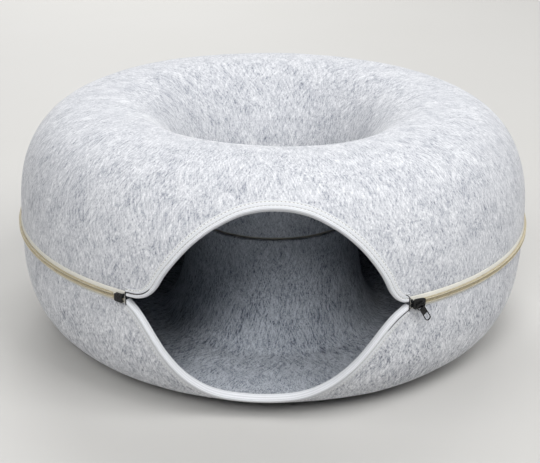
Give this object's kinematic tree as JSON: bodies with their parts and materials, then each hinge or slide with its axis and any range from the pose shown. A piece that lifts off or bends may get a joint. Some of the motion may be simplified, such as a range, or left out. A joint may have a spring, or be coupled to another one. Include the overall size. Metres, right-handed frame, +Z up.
{
  "type": "cat tunnel bed",
  "caption": "Ring-shaped felt tunnel bed for a cat: two moulded half shells zipped together round the outside and the middle hole, with a bound mouth at the front.",
  "frame": {"origin": "middle of the footprint, on the floor; the ring's own axis stands 8.2 mm in front of it", "axes": "+Z up along the ring's axis, the mouth faces -Y, +X to the right of someone who looks at the mouth"},
  "size_m": [0.5006, 0.4842, 0.2245],
  "materials": {
    "moulded_felt": "light blue-grey needle felt, mottled with dark and white fibres",
    "woven_binding": "off-white woven binding with a stitched edge",
    "zip_tape": "cream woven tape",
    "nylon_coil": "beige nylon coil",
    "black_lacquer": "black lacquer, half gloss",
    "crimped_metal": "black lacquered crimp"
  },
  "bodies": {
    "lower_half": {"lower_shell": "moulded_felt", "lower_mouth_binding": "woven_binding", "outer_lower_tape": "zip_tape", "outer_lower_coil": "nylon_coil", "outer_lower_stop": "crimped_metal", "outer_box": "black_lacquer", "inner_lower_tape": "zip_tape", "inner_lower_coil": "nylon_coil", "inner_lower_stop": "crimped_metal", "inner_box": "black_lacquer"},
    "upper_half": {"upper_shell": "moulded_felt", "upper_mouth_binding": "woven_binding", "outer_upper_tape": "zip_tape", "outer_upper_coil": "nylon_coil", "outer_upper_stop": "crimped_metal", "outer_pin": "crimped_metal", "inner_upper_tape": "zip_tape", "inner_upper_coil": "nylon_coil", "inner_upper_stop": "crimped_metal", "inner_pin": "crimped_metal"},
    "outer_slider": {"outer_slider": "black_lacquer"},
    "outer_pull": {"outer_pull": "black_lacquer"},
    "inner_slider": {"inner_slider": "black_lacquer"},
    "inner_pull": {"inner_pull": "black_lacquer"}
  },
  "joints": [
    {"name": "upper_half_lift", "type": "slide", "parent": "lower_half", "child": "upper_half", "axis": [0, 0, 1], "range_m": [0, 0.3]},
    {"name": "outer_slider_travel", "type": "hinge", "parent": "lower_half", "child": "outer_slider", "pos_m": [0, -0.0082, 0.113], "axis": [0, 0, 1], "range_deg": [0, 296]},
    {"name": "outer_pull_flip", "type": "hinge", "parent": "outer_slider", "child": "outer_pull", "pos_m": [0.12684, -0.22715, 0.113], "axis": [-0.7257, -0.4204, -0.5446], "range_deg": [0, 150]},
    {"name": "inner_slider_travel", "type": "hinge", "parent": "lower_half", "child": "inner_slider", "pos_m": [0, -0.0082, 0.113], "axis": [0, 0, 1], "range_deg": [0, 334]},
    {"name": "inner_pull_flip", "type": "hinge", "parent": "inner_slider", "child": "inner_pull", "pos_m": [-0.01099, 0.06483, 0.113], "axis": [-0.8293, -0.1248, 0.5446], "range_deg": [0, 150]}
  ]
}
